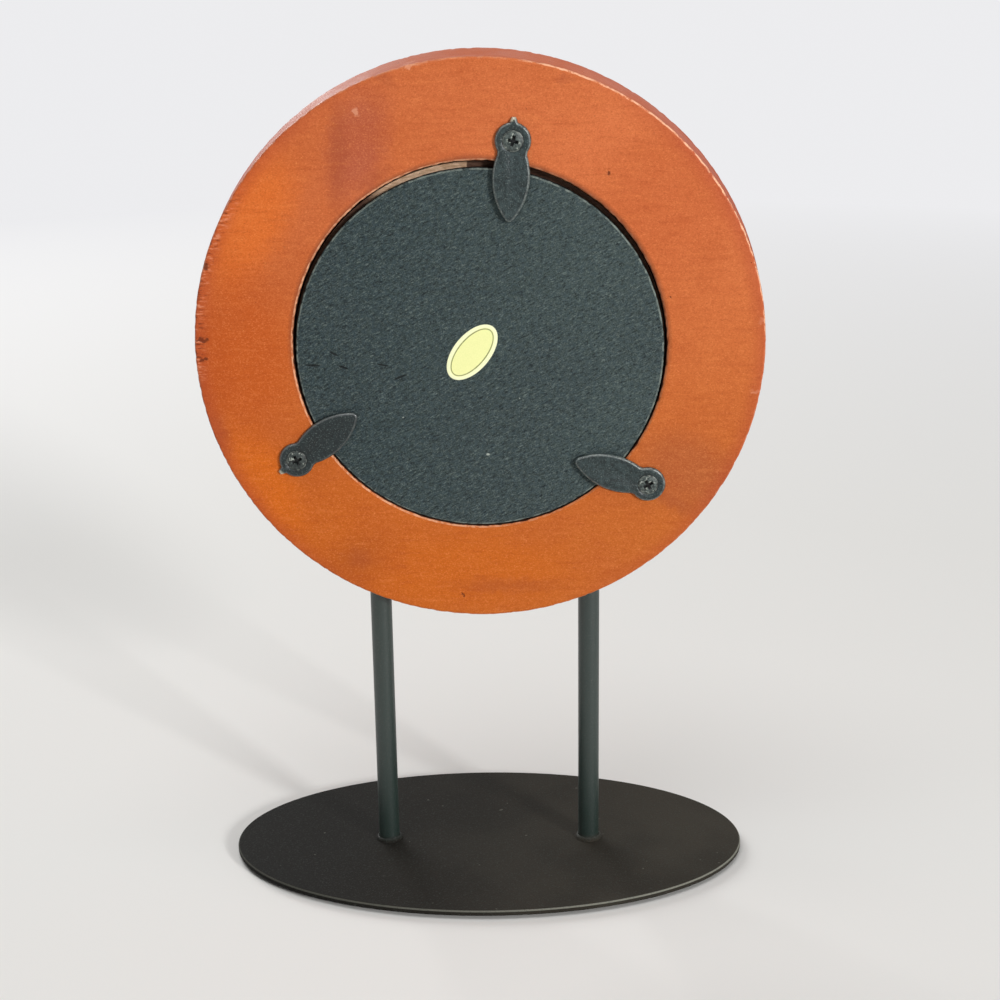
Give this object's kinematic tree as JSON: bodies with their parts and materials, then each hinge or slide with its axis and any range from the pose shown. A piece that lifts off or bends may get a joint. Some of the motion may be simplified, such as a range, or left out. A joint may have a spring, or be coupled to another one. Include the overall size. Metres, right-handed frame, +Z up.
{
  "type": "round photo frame",
  "caption": "Round turned-wood photo frame held upright on slim metal rods over a flat oval metal foot, with turn buttons that keep the backing board in.",
  "frame": {"origin": "middle of the foot's underside, where the frame rests on the table", "axes": "+Z up, picture faces -Y, back with the turn buttons faces +Y, +X to the left as seen from the back"},
  "size_m": [0.142, 0.078, 0.211],
  "materials": {
    "stained_wood": "satin orange-brown stain and thin lacquer, worn pale along the edges",
    "clear_glass": "clear float glass",
    "photo_paper": "satin print on white paper",
    "grey_card": "light card with a thin dark facing, rubbed bare at the upper left",
    "black_hardboard": "matte black paint over coarse hardboard grain",
    "sticker_paper": "pale yellow paper with a thin dark oval line",
    "black_sheet_metal": "satin black paint, worn at the edges",
    "black_screw_steel": "black oxide, slightly shiny",
    "black_stand_paint": "matte black powder coat",
    "black_felt": "thin black felt"
  },
  "bodies": {
    "frame_body": {"wood_ring": "stained_wood", "glass_pane": "clear_glass", "photo_print": "photo_paper", "filler_card": "grey_card", "backing_board": "black_hardboard", "oval_sticker": "sticker_paper", "button_screw_top": "black_screw_steel", "button_screw_left": "black_screw_steel", "button_screw_right": "black_screw_steel", "rod_left": "black_stand_paint", "rod_right": "black_stand_paint", "rod_weld_left": "black_stand_paint", "rod_weld_right": "black_stand_paint", "base_plate": "black_stand_paint", "felt_pad": "black_felt"},
    "button_top": {"turn_button_top": "black_sheet_metal"},
    "button_left": {"turn_button_left": "black_sheet_metal"},
    "button_right": {"turn_button_right": "black_sheet_metal"}
  },
  "joints": [
    {"name": "button_top_turn", "type": "hinge", "parent": "frame_body", "child": "button_top", "pos_m": [-0.00872, 0.0076, 0.19045], "axis": [0, 1, 0], "continuous": true},
    {"name": "button_left_turn", "type": "hinge", "parent": "frame_body", "child": "button_left", "pos_m": [0.04615, 0.0076, 0.11216], "axis": [0, 1, 0], "continuous": true},
    {"name": "button_right_turn", "type": "hinge", "parent": "frame_body", "child": "button_right", "pos_m": [-0.04154, 0.0076, 0.10502], "axis": [0, 1, 0], "continuous": true}
  ]
}
